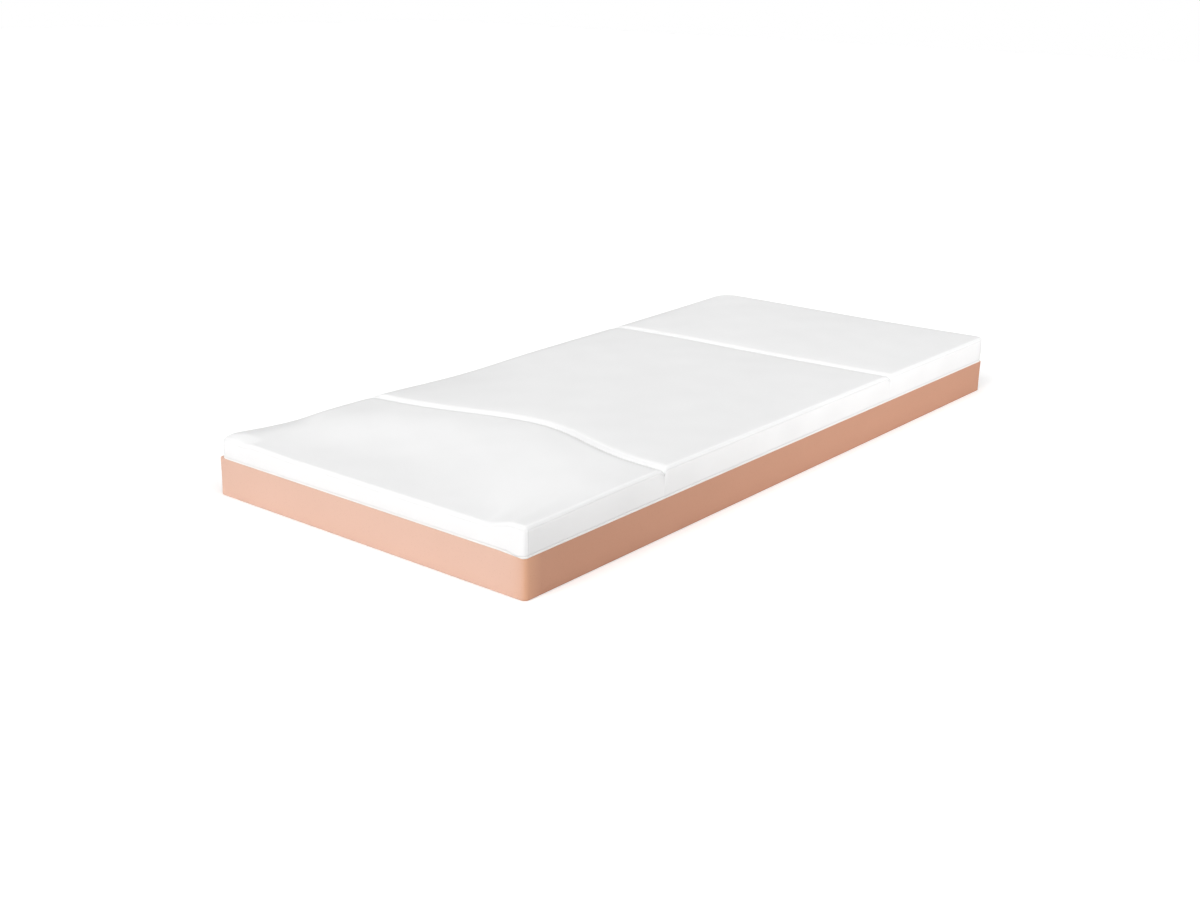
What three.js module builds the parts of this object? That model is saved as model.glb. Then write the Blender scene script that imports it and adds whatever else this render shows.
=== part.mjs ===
// Single mattress: a peach foam base with a white covered topper lying loose on it.
// Millimetres, +Z up. The origin is on the floor, under the middle of the mattress.
// The head end is at -Y, the foot end at +Y, and X runs across the bed.
//
// The topper's top is three sewn panels over three foam pads. The panels dip into a
// channel between each two pads, where an upright tape ties them to the underside sheet.
// The channel at the head end swings towards the foot at mid width; the other is straight.

import * as THREE from "three";

// Whole mattress
const width = 900;
const length = 2000;
const clearance = 0.3; // gap between two pieces that lie against each other

// Foam base
const baseHeight = 87;
const baseCornerRadius = 12; // in plan
const baseEdgeBreak = 2; // worn round of the cut edges

// Topper outline
const topperHeight = 63; // from its underside to the rim, without the crown
const headRightRadius = 8; // in plan, at each corner: the cover is pulled tight here
const headLeftRadius = 12;
const footRightRadius = 25;
const footLeftRadius = 55;
const rimRound = 7; // where the top panels turn down into the side bands
const slackDrop = 21; // how much lower the left side lies at the head end, where the cover is slack
const slackWidth = 80; // how far in from the left side the slack starts

// Zones of the topper's top
const headZoneLength = 450; // from the head end to the curved channel, at the sides
const bellRise = 92; // how much further the curved channel lies at mid width
const footZoneLength = 540; // from the straight channel to the foot end
const headCrownHeight = 2; // rise of the head zone's middle above the rim
const crownHeight = 4; // the same for the torso and foot zones

// Hollow for the head: an oval floor that opens to the head end, and a slope up to a larger oval
const hollowDepth = 9;
const hollowMiddle = 25; // its middle line lies this far to the right
const hollowFloorHalfWidth = 328;
const hollowFloorLength = 165;
const hollowHalfWidth = 408;
const hollowLength = 475;

// Channels: a zone rounds down into one in a lip, and the next zone rises from it in a wall
const channelDepth = 11;
const lipWidth = 24;
const wallWidth = 10;

// Cover
const coverThickness = 2;
const sheetThickness = 1.5;
const hemHeight = 4;
const hemProud = 1.2; // how far the hem binding stands out from the side bands

// Fineness of the facets
const cornerSegments = 6; // an even count, because the side bands are sewn at the middle one
const rimSegments = 4;
const slackSegments = 3;
const shoulderSegments = 6;
const middleColumns = 10;
const middleRows = 5;
const baseCornerSegments = 6;
const baseBreakSegments = 2;

// Exponents of rounded edges: 2 is a quarter of an ellipse and 1 a straight slope
const rimRoundness = 2;
const lipRoundness = 2;
const wallRoundness = 1.4;

// Exponents of how the hollow's slope and the slack fade out
const hollowFade = 1.5;
const slackFade = 2;

const halfTurn = Math.PI;
const quarterTurn = halfTurn / 2;

const headEnd = -length / 2;
const footEnd = length / 2;
const topperBottom = baseHeight + clearance;
const rimHeight = topperBottom + topperHeight;
const hemTop = topperBottom + hemHeight;
const sheetTop = topperBottom + sheetThickness;
const padInset = coverThickness + clearance;
const padBottom = sheetTop + clearance;
const creaseHalf = clearance / 2;

const colours = {
  peachFoam: { color: 0xe0ac90, roughness: 0.95, metalness: 0 },
  comfortFoam: { color: 0xf3efe4, roughness: 0.95, metalness: 0 },
  knitCover: { color: 0xf4f4f3, roughness: 0.85, metalness: 0 },
  hemTape: { color: 0xf6ecdd, roughness: 0.8, metalness: 0 },
  innerTape: { color: 0xe9e9e6, roughness: 0.8, metalness: 0 },
};

// Where the two channels run: the place along the length for a place across the width
function bellLine(x) {
  const swing = (1 + Math.cos((2 * halfTurn * x) / width)) / 2;
  return headEnd + headZoneLength + bellRise * swing;
}

function straightLine() {
  return footEnd - footZoneLength;
}

// A zone lies between two borders. A border is an end of the topper or a side of a channel.
const lip = { channel: true, reach: lipWidth, roundness: lipRoundness };
const wall = { channel: true, reach: wallWidth, roundness: wallRoundness };
const zones = {
  head: {
    start: { line: () => headEnd, channel: false, reach: Math.max(headLeftRadius, headRightRadius) },
    end: { ...lip, line: bellLine },
    crown: headCrownHeight,
    hollow: hollowDepth,
  },
  torso: {
    start: { ...wall, line: bellLine },
    end: { ...lip, line: straightLine },
    crown: crownHeight,
    hollow: 0,
  },
  foot: {
    start: { ...wall, line: straightLine },
    end: { line: () => footEnd, channel: false, reach: Math.max(footLeftRadius, footRightRadius) },
    crown: crownHeight,
    hollow: 0,
  },
};

// Plan radius of the topper's corner nearest to a point
function cornerRadius(x, y) {
  if (y < 0) {
    return x > 0 ? headRightRadius : headLeftRadius;
  }
  return x > 0 ? footRightRadius : footLeftRadius;
}

// Distance from a point on the topper to its outline
function outlineDistance(x, y) {
  const radius = cornerRadius(x, y);
  const pastX = Math.abs(x) - width / 2 + radius;
  const pastY = Math.abs(y) - length / 2 + radius;
  const straight = Math.min(Math.max(pastX, pastY), 0);
  return radius - straight - Math.hypot(Math.max(pastX, 0), Math.max(pastY, 0));
}

// Where one long side of the outline lies at a place along the length.
// An inset draws the whole outline in, so that layers lie inside each other.
function sideX(side, y, inset) {
  const radius = cornerRadius(side, y) - inset;
  const fromEnd = length / 2 - inset - Math.abs(y);
  const straight = width / 2 - inset;
  if (fromEnd >= radius) {
    return side * straight;
  }
  const across = Math.sqrt(Math.max(radius ** 2 - (radius - fromEnd) ** 2, 0));
  return side * (straight - radius + across);
}

// How far a rounded edge lies below the flat
function roundDrop(distance, span, depth, roundness) {
  const share = Math.min(Math.max(distance / span, 0), 1);
  return depth * (1 - (1 - (1 - share) ** roundness) ** (1 / roundness));
}

// How far the slack left side lies below the flat: most at the head end, nothing at the foot end
function slackAt(x, y) {
  const leftShare = Math.max(1 - (x + width / 2) / slackWidth, 0) ** slackFade;
  return slackDrop * leftShare * Math.cos((quarterTurn * (y - headEnd)) / length);
}

// How far a layer's point near the rim lies below the flat
function rimDrop(x, y, inset) {
  const radius = rimRound - inset;
  return roundDrop(outlineDistance(x, y) - inset, radius, radius, rimRoundness) + slackAt(x, y);
}

// How deep the hollow is at a point, as a share of its depth
function hollowShare(x, fromHeadEnd) {
  const across = x - hollowMiddle;
  const inner = Math.hypot(across / hollowFloorHalfWidth, fromHeadEnd / hollowFloorLength);
  const outer = Math.hypot(across / hollowHalfWidth, fromHeadEnd / hollowLength);
  if (inner <= 1) {
    return 1;
  }
  if (outer >= 1) {
    return 0;
  }
  const slope = ((inner - 1) / (inner - outer)) ** hollowFade;
  return (1 + Math.cos(halfTurn * slope)) / 2;
}

// Height of a layer of the topper's top at a point
function layerHeight(zone, x, y, inset) {
  const startY = zone.start.line(x);
  const endY = zone.end.line(x);
  const along = Math.min(Math.max((y - startY) / (endY - startY), 0), 1);
  const across = (2 * x) / width;
  const crown = zone.crown * (1 - across ** 2) * 4 * along * (1 - along);
  const hollow = zone.hollow * hollowShare(x, y - headEnd);
  let height = rimHeight + crown - hollow - inset;
  height -= rimDrop(x, y, inset);
  for (const [border, distance] of [[zone.start, y - startY], [zone.end, endY - y]]) {
    if (border.channel) {
      const fromCrease = distance - creaseHalf - inset;
      height -= roundDrop(fromCrease, border.reach - inset, channelDepth - inset, border.roundness);
    }
  }
  return height;
}

// Distances that step round a quarter arc, close together where it is steep
function arcSteps(radius, segments) {
  return Array.from({ length: segments + 1 }, (_, i) => {
    return radius * (1 - Math.cos((quarterTurn * i) / segments));
  });
}

// Places from low to high: close steps at both ends and even steps between
function spread(low, high, lowSteps, highSteps, middleCount) {
  const first = lowSteps.map((step) => low + step);
  const last = highSteps.map((step) => high - step).reverse();
  const from = first[first.length - 1];
  const span = last[0] - from;
  const middle = Array.from({ length: middleCount - 1 }, (_, i) => from + (span * (i + 1)) / middleCount);
  return [...first, ...middle, ...last];
}

// Places across the topper, from its left side to its right side
function columnPlaces(left, right, inset) {
  const rimSteps = arcSteps(rimRound - inset, rimSegments);
  const slackStep = (slackWidth - rimRound) / slackSegments;
  const slackSteps = Array.from({ length: slackSegments }, (_, i) => rimRound - inset + slackStep * (i + 1));
  return spread(left, right, [...rimSteps, ...slackSteps], rimSteps, middleColumns);
}

// Places along a zone, from its head side to its foot side, for a place across
function rowPlaces(zone, x, inset) {
  const [start, end] = [zone.start, zone.end].map((border) => ({
    place: border.line(x),
    draw: inset + (border.channel ? creaseHalf : 0),
    steps: arcSteps(border.reach - inset, border.channel ? shoulderSegments : cornerSegments),
  }));
  return spread(start.place + start.draw, end.place - end.draw, start.steps, end.steps, middleRows);
}

// One layer of a zone as rows of points, from the head side to the foot side.
// Past the corners' reach the sides are straight, so a column's place there is known first.
function zoneGrid(zone, inset) {
  const columns = columnPlaces(inset - width / 2, width / 2 - inset, inset);
  const rowsByColumn = columns.map((x) => rowPlaces(zone, x, inset));
  return rowsByColumn[0].map((_, row) => {
    return columns.map((_, column) => {
      const y = rowsByColumn[column][row];
      const x = columnPlaces(sideX(-1, y, inset), sideX(1, y, inset), inset)[column];
      return new THREE.Vector3(x, y, layerHeight(zone, x, y, inset));
    });
  });
}

// The points round a grid's edge, anticlockwise seen from above
function gridEdge(grid) {
  const lastRow = grid.length - 1;
  const lastColumn = grid[0].length - 1;
  const head = grid[0].slice(0, lastColumn);
  const right = grid.slice(0, lastRow).map((row) => row[lastColumn]);
  const foot = grid[lastRow].slice(1).reverse();
  const left = grid.slice(1).map((row) => row[0]).reverse();
  return [...head, ...right, ...foot, ...left];
}

// A mesh is gathered as a list of triangles, each of three points
function addQuad(triangles, a, b, c, d) {
  triangles.push([a, b, c], [a, c, d]);
}

// Both ways up a cell is cut along the same diagonal, so that layers stay parallel
function addGrid(triangles, grid, faceUp) {
  for (let row = 0; row < grid.length - 1; row += 1) {
    for (let column = 0; column < grid[row].length - 1; column += 1) {
      const [near, far] = [grid[row][column], grid[row + 1][column + 1]];
      const [right, left] = [grid[row][column + 1], grid[row + 1][column]];
      addQuad(triangles, near, faceUp ? right : left, far, faceUp ? left : right);
    }
  }
}

// A wall between two loops with as many points, upper and lower, facing out
function addWall(triangles, upper, lower) {
  upper.forEach((point, i) => {
    const next = (i + 1) % upper.length;
    addQuad(triangles, lower[i], lower[next], upper[next], point);
  });
}

function geometryOf(triangles) {
  const geometry = new THREE.BufferGeometry();
  const positions = triangles.flat().flatMap((point) => [point.x, point.y, point.z]);
  geometry.setAttribute("position", new THREE.Float32BufferAttribute(positions, 3));
  geometry.computeVertexNormals();
  return geometry;
}

// Top panel: the knit between its outer face and its inner face
function panelGeometry(zone) {
  const outer = zoneGrid(zone, 0);
  const inner = zoneGrid(zone, coverThickness);
  const triangles = [];
  addGrid(triangles, outer, true);
  addGrid(triangles, inner, false);
  addWall(triangles, gridEdge(outer), gridEdge(inner));
  return geometryOf(triangles);
}

// Pad: crowned top, upright sides and a flat bottom
function padGeometry(zone) {
  const top = zoneGrid(zone, padInset);
  const upper = gridEdge(top);
  const lower = upper.map((point) => new THREE.Vector3(point.x, point.y, padBottom));
  const triangles = [];
  addGrid(triangles, top, true);
  addWall(triangles, upper, lower);
  const outline = lower.map((point) => new THREE.Vector2(point.x, point.y));
  for (const [a, b, c] of THREE.ShapeUtils.triangulateShape(outline, [])) {
    triangles.push([lower[c], lower[b], lower[a]]);
  }
  return geometryOf(triangles);
}

// The topper's rim as stations round the outline, each with the edges of the panels
// above it on its outer and its inner face, and the stations where the bands are sewn
function rimStations() {
  const grids = Object.values(zones).map((zone) => {
    return { outer: zoneGrid(zone, 0), inner: zoneGrid(zone, coverThickness) };
  });
  const [headGrid] = grids;
  const footGrid = grids[grids.length - 1];
  const lastRow = footGrid.outer.length - 1;
  const lastColumn = headGrid.outer[0].length - 1;
  const station = (grid, row, column) => ({ outer: grid.outer[row][column], inner: grid.inner[row][column] });
  const side = (column) => grids.flatMap((grid) => grid.outer.map((_, row) => station(grid, row, column)));
  const between = Array.from({ length: lastColumn - 1 }, (_, i) => i + 1);
  const right = side(lastColumn);
  const left = side(0).reverse();
  const foot = between.map((column) => station(footGrid, lastRow, lastColumn - column));
  const head = between.map((column) => station(headGrid, 0, column));
  const half = cornerSegments / 2;
  const leftStart = right.length + foot.length;
  const seams = {
    headRight: half,
    footRight: right.length - 1 - half,
    footLeft: leftStart + half,
    headLeft: leftStart + left.length - 1 - half,
  };
  return { loop: [...right, ...foot, ...left, ...head], seams };
}

// Moves the end of a run of points along the run, to leave half a seam gap
function trimEnd(point, next) {
  const step = new THREE.Vector3().subVectors(next, point);
  return point.clone().addScaledVector(step, creaseHalf / step.length());
}

// Side band from one seam to another: a strip of knit that stands under the panels' rim
function bandGeometry(rim, from, to) {
  const count = (to - from + rim.loop.length) % rim.loop.length;
  const run = Array.from({ length: count + 1 }, (_, i) => rim.loop[(from + i) % rim.loop.length]);
  const faces = ["outer", "inner"].map((face) => {
    const points = run.map((station) => station[face]);
    const trimmed = [...points];
    trimmed[0] = trimEnd(points[0], points[1]);
    trimmed[count] = trimEnd(points[count], points[count - 1]);
    return trimmed;
  });
  const bandBottom = hemTop + clearance;
  const sections = faces[0].map((outer, i) => {
    const inner = faces[1][i];
    return [
      new THREE.Vector3(outer.x, outer.y, bandBottom),
      new THREE.Vector3(outer.x, outer.y, outer.z - clearance),
      new THREE.Vector3(inner.x, inner.y, inner.z - clearance),
      new THREE.Vector3(inner.x, inner.y, bandBottom),
    ];
  });
  const triangles = [];
  for (let i = 0; i < count; i += 1) {
    sections[i].forEach((point, j) => {
      const k = (j + 1) % sections[i].length;
      addQuad(triangles, point, sections[i + 1][j], sections[i + 1][k], sections[i][k]);
    });
  }
  addQuad(triangles, ...sections[0]);
  addQuad(triangles, ...[...sections[count]].reverse());
  return geometryOf(triangles);
}

// The outline with its four corner arcs, anticlockwise seen from above
function outlineLoop(inset, z) {
  const places = { head: zones.head.start.reach, foot: zones.foot.end.reach };
  const headRows = arcSteps(places.head - inset, cornerSegments).map((step) => headEnd + inset + step);
  const footRows = arcSteps(places.foot - inset, cornerSegments).map((step) => footEnd - inset - step);
  const rows = [...headRows, ...footRows.reverse()];
  const right = rows.map((y) => new THREE.Vector3(sideX(1, y, inset), y, z));
  const left = rows.map((y) => new THREE.Vector3(sideX(-1, y, inset), y, z));
  return [...right, ...left.reverse()];
}

// Hem binding: a narrow tape folded round the lower edge of the side bands
function hemGeometry() {
  const middle = topperBottom + hemHeight / 2;
  const section = [
    outlineLoop(coverThickness, topperBottom),
    outlineLoop(0, topperBottom),
    outlineLoop(-hemProud, middle),
    outlineLoop(0, hemTop),
    outlineLoop(coverThickness, hemTop),
  ];
  const triangles = [];
  section.forEach((loop, i) => {
    addWall(triangles, section[(i + 1) % section.length], loop);
  });
  return geometryOf(triangles);
}

// Underside sheet: the flat bottom of the cover, inside the hem
function sheetGeometry() {
  const outline = outlineLoop(padInset, 0).map((point) => new THREE.Vector2(point.x, point.y));
  const geometry = new THREE.ExtrudeGeometry(new THREE.Shape(outline), {
    depth: sheetThickness,
    bevelEnabled: false,
  });
  return geometry.translate(0, 0, topperBottom);
}

// Channel tape: an upright wall between two pads, as thick as the two panel edges above it
function tapeGeometry(line) {
  const half = creaseHalf + coverThickness;
  const columns = columnPlaces(padInset - width / 2, width / 2 - padInset, padInset);
  const sections = columns.map((x) => {
    const y = line(x);
    const top = rimHeight - channelDepth - clearance - rimDrop(x, y, padInset);
    return [
      new THREE.Vector3(x, y - half, padBottom),
      new THREE.Vector3(x, y + half, padBottom),
      new THREE.Vector3(x, y + half, top),
      new THREE.Vector3(x, y - half, top),
    ];
  });
  const triangles = [];
  for (let i = 0; i < sections.length - 1; i += 1) {
    sections[i].forEach((point, j) => {
      const k = (j + 1) % sections[i].length;
      addQuad(triangles, point, sections[i][k], sections[i + 1][k], sections[i + 1][j]);
    });
  }
  addQuad(triangles, ...[...sections[0]].reverse());
  addQuad(triangles, ...sections[sections.length - 1]);
  return geometryOf(triangles);
}

// Foam base: one block with rounded upright corners and slightly worn edges
function baseGeometry() {
  const radius = baseCornerRadius;
  const [x, y] = [width / 2 - radius, length / 2 - radius];
  const outline = new THREE.Shape();
  outline.absarc(x, -y, radius, -quarterTurn, 0, false);
  outline.absarc(x, y, radius, 0, quarterTurn, false);
  outline.absarc(-x, y, radius, quarterTurn, halfTurn, false);
  outline.absarc(-x, -y, radius, halfTurn, halfTurn + quarterTurn, false);
  const geometry = new THREE.ExtrudeGeometry(outline, {
    depth: baseHeight - 2 * baseEdgeBreak,
    curveSegments: baseCornerSegments,
    bevelEnabled: true,
    bevelThickness: baseEdgeBreak,
    bevelSize: baseEdgeBreak,
    bevelOffset: -baseEdgeBreak,
    bevelSegments: baseBreakSegments,
  });
  return geometry.translate(0, 0, baseEdgeBreak);
}

function namedMesh(name, geometry, finish) {
  const mesh = new THREE.Mesh(geometry, new THREE.MeshStandardMaterial(finish));
  mesh.name = name;
  return mesh;
}

// Topper, with its pads inside the cover
function makeTopper() {
  const topper = new THREE.Group();
  for (const [name, zone] of Object.entries(zones)) {
    topper.add(namedMesh(`${name}_panel`, panelGeometry(zone), colours.knitCover));
    topper.add(namedMesh(`${name}_pad`, padGeometry(zone), colours.comfortFoam));
  }
  const rim = rimStations();
  const bands = {
    head_border: [rim.seams.headLeft, rim.seams.headRight],
    right_border: [rim.seams.headRight, rim.seams.footRight],
    foot_border: [rim.seams.footRight, rim.seams.footLeft],
    left_border: [rim.seams.footLeft, rim.seams.headLeft],
  };
  for (const [name, [from, to]] of Object.entries(bands)) {
    topper.add(namedMesh(name, bandGeometry(rim, from, to), colours.knitCover));
  }
  topper.add(namedMesh("hem_binding", hemGeometry(), colours.hemTape));
  topper.add(namedMesh("underside_sheet", sheetGeometry(), colours.innerTape));
  topper.add(namedMesh("bell_channel_tape", tapeGeometry(bellLine), colours.innerTape));
  topper.add(namedMesh("straight_channel_tape", tapeGeometry(straightLine), colours.innerTape));
  return topper;
}

const mattress = new THREE.Group();
mattress.add(namedMesh("base_core", baseGeometry(), colours.peachFoam));
mattress.add(makeTopper());

export default mattress;
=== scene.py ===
"""Single mattress: a peach foam base with a white covered topper lying loose on it.

Metres, +Z up. The head end is at -Y, the foot end at +Y, and X runs across the bed.
The topper is a knitted cover over three foam pads. Its top panels dip into two channels,
a bell-shaped one by the head zone and a straight one by the foot zone.
"""

import logging
import math
from dataclasses import dataclass
from enum import Enum
from typing import Callable

import bpy
import numpy as np
from bpy.types import Material, Node, NodeSocket, NodeTree, Object
from mathutils import Matrix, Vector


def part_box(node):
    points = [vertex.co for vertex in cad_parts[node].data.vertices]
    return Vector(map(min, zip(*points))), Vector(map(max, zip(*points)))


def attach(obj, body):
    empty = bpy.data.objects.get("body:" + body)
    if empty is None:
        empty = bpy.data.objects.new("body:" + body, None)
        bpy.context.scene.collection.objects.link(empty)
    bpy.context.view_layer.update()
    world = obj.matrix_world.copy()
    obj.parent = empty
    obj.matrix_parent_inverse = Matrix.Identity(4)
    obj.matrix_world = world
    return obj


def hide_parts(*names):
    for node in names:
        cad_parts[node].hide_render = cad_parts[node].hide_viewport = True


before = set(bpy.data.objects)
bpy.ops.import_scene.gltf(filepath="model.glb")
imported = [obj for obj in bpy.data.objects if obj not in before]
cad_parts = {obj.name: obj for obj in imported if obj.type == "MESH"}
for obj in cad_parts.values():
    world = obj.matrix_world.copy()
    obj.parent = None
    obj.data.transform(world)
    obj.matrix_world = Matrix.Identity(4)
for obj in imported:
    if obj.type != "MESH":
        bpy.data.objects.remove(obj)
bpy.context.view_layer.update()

MM = 0.001
TINY = 1e-9
UPRIGHT = math.sqrt(0.5)  # a face stands upright when its normal rises by less than this
WHITE = (1, 1, 1, 1)
Array = np.ndarray
Triple = tuple[float, float, float]
log = logging.getLogger("mattress")


class Zone(Enum):
    """The three zones of the topper's top, from the head end to the foot end."""

    HEAD = "head"
    TORSO = "torso"
    FOOT = "foot"


class Channel(Enum):
    """The two channels that part the zones."""

    BELL = "bell"
    STRAIGHT = "straight"


class Band(Enum):
    """The four side bands of the cover."""

    HEAD = "head_border"
    RIGHT = "right_border"
    FOOT = "foot_border"
    LEFT = "left_border"


# Helpers for shapes


def arc_steps(radius: float, segments: int) -> Array:
    """Give distances that step round a quarter arc, close together where it is steep.

    Args:
        radius: The arc's reach.
        segments: How many steps it has.

    Returns:
        The distances, from 0 to the radius.
    """
    return radius * (1 - np.cos(np.linspace(0, math.pi / 2, segments + 1)))


def round_drop(distance: Array, span: float, depth: float, roundness: float = 2.0) -> Array:
    """Tell how far a rounded edge lies below the flat.

    Args:
        distance: Distances from the edge.
        span: How far in the edge is rounded.
        depth: How low the very edge lies.
        roundness: 2 for a quarter of an ellipse, and 1 for a straight slope.

    Returns:
        The drop at each distance.
    """
    share = np.clip(distance / span, 0, 1)
    return depth * (1 - (1 - (1 - share) ** roundness) ** (1 / roundness))


def eased(share: Array) -> Array:
    """Turn a share into one that starts and ends softly, kept between 0 and 1."""
    return (1 - np.cos(math.pi * np.clip(share, 0, 1))) / 2


def shares_across(steps: tuple[Array, Array], span: Array, middle: int) -> Array:
    """Lay places between two edges: close steps by both edges, even steps between.

    Args:
        steps: Distances from the low and from the high edge.
        span: Distance between the edges, for each line that is laid.
        middle: Number of even steps between the close ones.

    Returns:
        Distances from the low edge, one row for each place and one column for each line.
    """
    low, high = steps
    first = np.repeat(low[:, None], len(span), axis=1)
    last = span[None, :] - high[::-1, None]
    shares = np.arange(1, middle)[:, None] / middle
    between = first[-1] + (last[0] - first[-1]) * shares
    return np.concatenate([first, between, last])


def border(grid: Array) -> Array:
    """Give what lies round the edge of a grid, each point or number once."""
    return np.concatenate([grid[0, :-1], grid[:-1, -1], grid[-1, :0:-1], grid[:0:-1, 0]])


def ring(plan: Array, height: Array | float) -> Array:
    """Lift the points of a plan to one height, or each to its own."""
    return np.column_stack([plan[:, :2], np.broadcast_to(height, len(plan))])


def outward(loop: Array) -> Array:
    """Give the way out, in plan, from each point of an anticlockwise loop."""
    across, along = (np.roll(loop, -1, axis=0) - np.roll(loop, 1, axis=0))[:, :2].T
    return np.stack([along, -across], axis=1) / np.maximum(np.hypot(along, across), TINY)[:, None]


def link(item: Object) -> None:
    """Put an object in the scene."""
    bpy.context.scene.collection.objects.link(item)


class MeshParts:
    """Points and faces that are gathered into one mesh."""

    def __init__(self) -> None:
        """Start with no points and no faces."""
        self.points: list[Array] = []
        self.faces: list[list[int]] = []
        self.count = 0

    def add_points(self, points: Array) -> Array:
        """Add points.

        Args:
            points: Coordinates, with the last axis of length three.

        Returns:
            The number of each point, in the same layout.
        """
        flat = points.reshape(-1, 3)
        numbers = np.arange(self.count, self.count + len(flat)).reshape(points.shape[:-1])
        self.points.append(flat)
        self.count += len(flat)
        return numbers

    def add_grid(self, numbers: Array, closed: bool = False) -> None:
        """Add a sheet of four-sided faces over rows and columns of points.

        Args:
            numbers: Point numbers, as rows and columns.
            closed: Whether the last column joins the first one.
        """
        columns = numbers.shape[1]
        last = columns if closed else columns - 1
        for i in range(numbers.shape[0] - 1):
            for j in range(last):
                k = (j + 1) % columns
                self.faces.append([numbers[i, j], numbers[i, k], numbers[i + 1, k], numbers[i + 1, j]])

    def add_cap(self, loop: Array) -> None:
        """Add one flat face over a loop of points."""
        self.faces.append(list(loop))

    def build(self, name: str, finish: Material | None = None) -> Object:
        """Make the object, with smooth shading.

        Args:
            name: The piece's name.
            finish: Its material.

        Returns:
            The new object, at the origin.
        """
        mesh = bpy.data.meshes.new(name)
        faces = [[int(n) for n in face] for face in self.faces]
        mesh.from_pydata(np.concatenate(self.points).tolist(), [], faces)
        mesh.validate()
        mesh.polygons.foreach_set("use_smooth", [True] * len(mesh.polygons))
        mesh.update()
        if finish:
            mesh.materials.append(finish)
        piece = bpy.data.objects.new(name, mesh)
        link(piece)
        return piece


def sheet_piece(name: str, grid: Array, finish: Material | None = None, thickness: float = 0.0) -> Object:
    """Make a sheet over rows and columns of points.

    Args:
        name: The piece's name.
        grid: The points of its outer face.
        finish: Its material.
        thickness: The cloth's thickness, laid inwards from the outer face.

    Returns:
        The piece.
    """
    parts = MeshParts()
    parts.add_grid(parts.add_points(grid))
    piece = parts.build(name, finish)
    if thickness:
        solidify = piece.modifiers.new("cloth thickness", "SOLIDIFY")
        solidify.thickness = thickness
        solidify.offset = -1
        solidify.use_rim = True
    return piece


def ring_piece(name: str, rings: list[Array], finish: Material, capped: bool = True) -> Object:
    """Make a closed piece over rings of points.

    Args:
        name: The piece's name.
        rings: The rings, with as many points each.
        finish: Its material.
        capped: Whether flat faces close it, or else its last ring joins the first one.

    Returns:
        The piece.
    """
    parts = MeshParts()
    numbers = parts.add_points(np.stack(rings))
    parts.add_grid(numbers if capped else np.concatenate([numbers, numbers[:1]]), closed=True)
    if capped:
        parts.add_cap(numbers[0][::-1])
        parts.add_cap(numbers[-1])
    return parts.build(name, finish)


# The topper's outline and top


@dataclass(frozen=True)
class Outline:
    """A rectangle seen from above, with a radius of its own at each corner."""

    half_width: float
    half_length: float
    head_right: float
    head_left: float
    foot_right: float
    foot_left: float
    left_short: float = 0.0

    @property
    def left(self) -> float:
        """Give where the left side lies, which may stand in a little."""
        return self.left_short - self.half_width

    def radius(self, x: Array, y: Array) -> Array:
        """Give the radius of the corner that each point is nearest to."""
        head, foot = (self.head_right, self.head_left), (self.foot_right, self.foot_left)
        return np.where(y < 0, np.where(x > 0, *head), np.where(x > 0, *foot))

    def distance(self, x: Array, y: Array) -> Array:
        """Measure how far inside the outline points lie.

        Args:
            x: Places across the width.
            y: Places along the length.

        Returns:
            Each point's distance to the outline.
        """
        radius = self.radius(x, y)
        past_x = np.maximum(x - self.half_width, self.left - x) + radius
        past_y = np.abs(y) - self.half_length + radius
        straight = np.minimum(np.maximum(past_x, past_y), 0)
        return radius - straight - np.hypot(np.maximum(past_x, 0), np.maximum(past_y, 0))

    def side(self, sign: int, y: Array, inset: float) -> Array:
        """Give where a long side of the outline lies.

        Args:
            sign: 1 for the right side and -1 for the left one.
            y: Places along the length.
            inset: How far the whole outline is drawn in.

        Returns:
            The place across the width, for each place along the length.
        """
        radius = self.radius(np.full_like(y, sign), y) - inset
        from_end = self.half_length - inset - np.abs(y)
        straight = (self.half_width if sign > 0 else -self.left) - inset
        short = np.maximum(radius - from_end, 0)
        across = np.sqrt(np.maximum(radius**2 - short**2, 0))
        return sign * np.where(from_end >= radius, straight, straight - radius + across)

    def reach(self, at_head: bool) -> float:
        """Give how far from an end its larger corner reaches."""
        return max(self.head_right, self.head_left) if at_head else max(self.foot_right, self.foot_left)

    def loop(self, inset: float, segments: int) -> Array:
        """Lay points round the outline, anticlockwise seen from above.

        Args:
            inset: How far the outline is drawn in.
            segments: Steps round each corner.

        Returns:
            Points as x and y.
        """
        head = inset - self.half_length + arc_steps(self.reach(True) - inset, segments)
        foot = self.half_length - inset - arc_steps(self.reach(False) - inset, segments)
        straight = np.linspace(head[-1], foot[-1], 2 * segments + 2)[1:-1]
        rows = np.concatenate([head, straight, foot[::-1]])
        right = np.stack([self.side(1, rows, inset), rows], axis=1)
        left = np.stack([self.side(-1, rows, inset), rows], axis=1)[::-1]
        ends = np.linspace(0, 1, segments + 2)[1:-1, None]
        foot_end = right[-1] + (left[0] - right[-1]) * ends
        head_end = left[-1] + (right[0] - left[-1]) * ends
        return np.concatenate([right, foot_end, left, head_end])


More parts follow.
